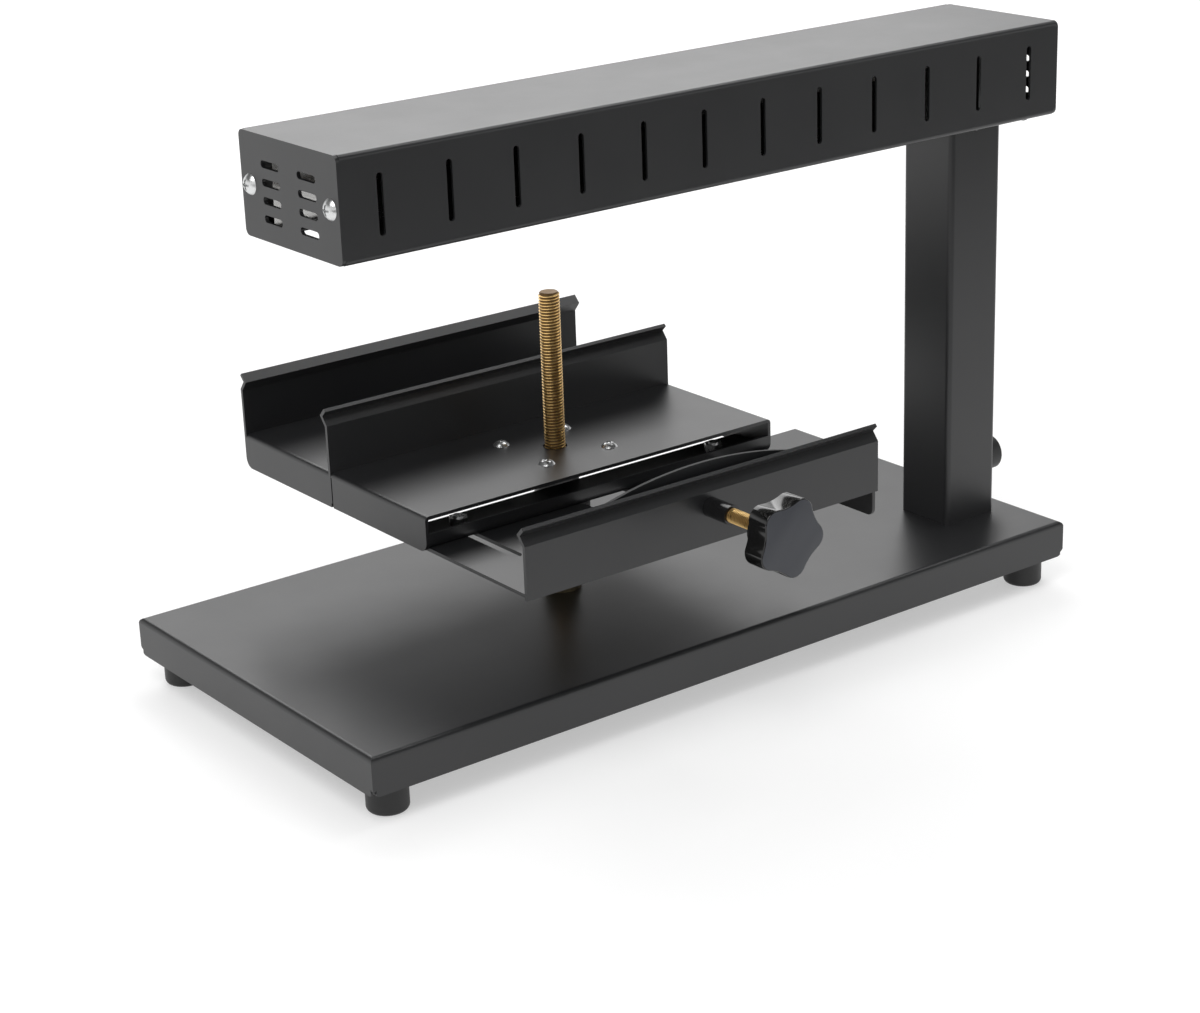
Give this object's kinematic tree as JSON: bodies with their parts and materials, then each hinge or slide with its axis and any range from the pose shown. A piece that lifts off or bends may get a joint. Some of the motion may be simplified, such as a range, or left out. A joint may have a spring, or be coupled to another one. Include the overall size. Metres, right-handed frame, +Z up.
{
  "type": "cheese melter",
  "caption": "Raclette melter: a long radiant heater on a square column over swinging cheese trays on a threaded rod, with a sliding wall, a screw clamp and a star knob.",
  "frame": {"origin": "on the standing surface, under the middle of the whole outline", "axes": "+X along the base towards the column, +Y away from the clamp's knob, +Z up"},
  "size_m": [0.5041, 0.3466, 0.341],
  "materials": {
    "black_powder_coat": "satin black powder coat on folded steel sheet",
    "black_rubber": "plain black rubber",
    "zinc_plate": "bright zinc plated steel",
    "brass_rod": "yellow passivated, dull brass colour",
    "polished_aluminium": "bright rolled aluminium",
    "heated_steel": "dark oxidised sheath",
    "pale_ceramic": "pale unglazed ceramic",
    "black_plastic": "moulded black plastic",
    "red_plastic": "moulded red plastic",
    "glossy_black_plastic": "glossy moulded black plastic"
  },
  "bodies": {
    "stand": {"base_pan": "black_powder_coat", "rubber_feet": "black_rubber", "foot_screws": "zinc_plate", "foot_nuts": "zinc_plate", "column": "black_powder_coat", "head_plate": "black_powder_coat", "backing_plate": "zinc_plate", "column_bolts": "zinc_plate", "threaded_rod": "brass_rod", "rod_washers": "brass_rod", "rod_nuts": "brass_rod", "heater_housing": "black_powder_coat", "heater_mount_screws": "zinc_plate", "heater_cap_front": "black_powder_coat", "heater_cap_rear": "black_powder_coat", "cap_screws": "zinc_plate", "reflector": "polished_aluminium", "element_brackets": "zinc_plate", "heating_element": "heated_steel", "terminal_block": "pale_ceramic", "switch_body": "black_plastic", "gland_body": "black_plastic", "gland_lock_nut": "black_plastic", "gland_cap": "black_plastic"},
    "rocker": {"switch_rocker": "red_plastic"},
    "lift_ring": {"height_ring": "zinc_plate"},
    "lift_nut": {"hand_nut": "black_plastic"},
    "carriage": {"hub": "black_powder_coat", "hub_screws": "zinc_plate", "near_tray": "black_powder_coat", "far_tray": "black_powder_coat", "tray_bolts": "zinc_plate", "tray_nuts": "zinc_plate", "guide_screws": "zinc_plate", "guide_nuts": "zinc_plate"},
    "jaw": {"sliding_wall": "black_powder_coat", "clamp_sleeve": "black_powder_coat"},
    "press": {"pressure_plate": "black_powder_coat"},
    "clamp_screw": {"clamp_spindle": "brass_rod", "star_knob": "glossy_black_plastic"}
  },
  "joints": [
    {"name": "height_slide", "type": "slide", "parent": "stand", "child": "lift_ring", "axis": [0, 0, 1], "range_m": [-0.028, 0.084]},
    {"name": "nut_turn", "type": "hinge", "parent": "lift_ring", "child": "lift_nut", "pos_m": [-0.0421, 0.03075, 0.087], "axis": [0, 0, 1], "range_deg": [-5761, 17281]},
    {"name": "carriage_swing", "type": "hinge", "parent": "lift_ring", "child": "carriage", "pos_m": [-0.0421, 0.03075, 0.109], "axis": [0, 0, 1], "continuous": true},
    {"name": "jaw_slide", "type": "slide", "parent": "carriage", "child": "jaw", "axis": [0, 1, 0], "range_m": [0, 0.053]},
    {"name": "plate_slide", "type": "slide", "parent": "jaw", "child": "press", "axis": [0, 1, 0], "range_m": [0, 0.025]},
    {"name": "screw_turn", "type": "hinge", "parent": "press", "child": "clamp_screw", "pos_m": [-0.0421, -0.12925, 0.1257], "axis": [0, 1, 0], "range_deg": [-1, 7201]},
    {"name": "switch_rock", "type": "hinge", "parent": "stand", "child": "rocker", "pos_m": [0.2029, 0.01295, 0.314], "axis": [1, 0, 0], "range_deg": [-16, 0]}
  ],
  "couplings": [
    {"joint": "nut_turn", "follows": "height_slide", "rad_per_m": 3590.4},
    {"joint": "screw_turn", "follows": "plate_slide", "rad_per_m": 5026.5}
  ]
}
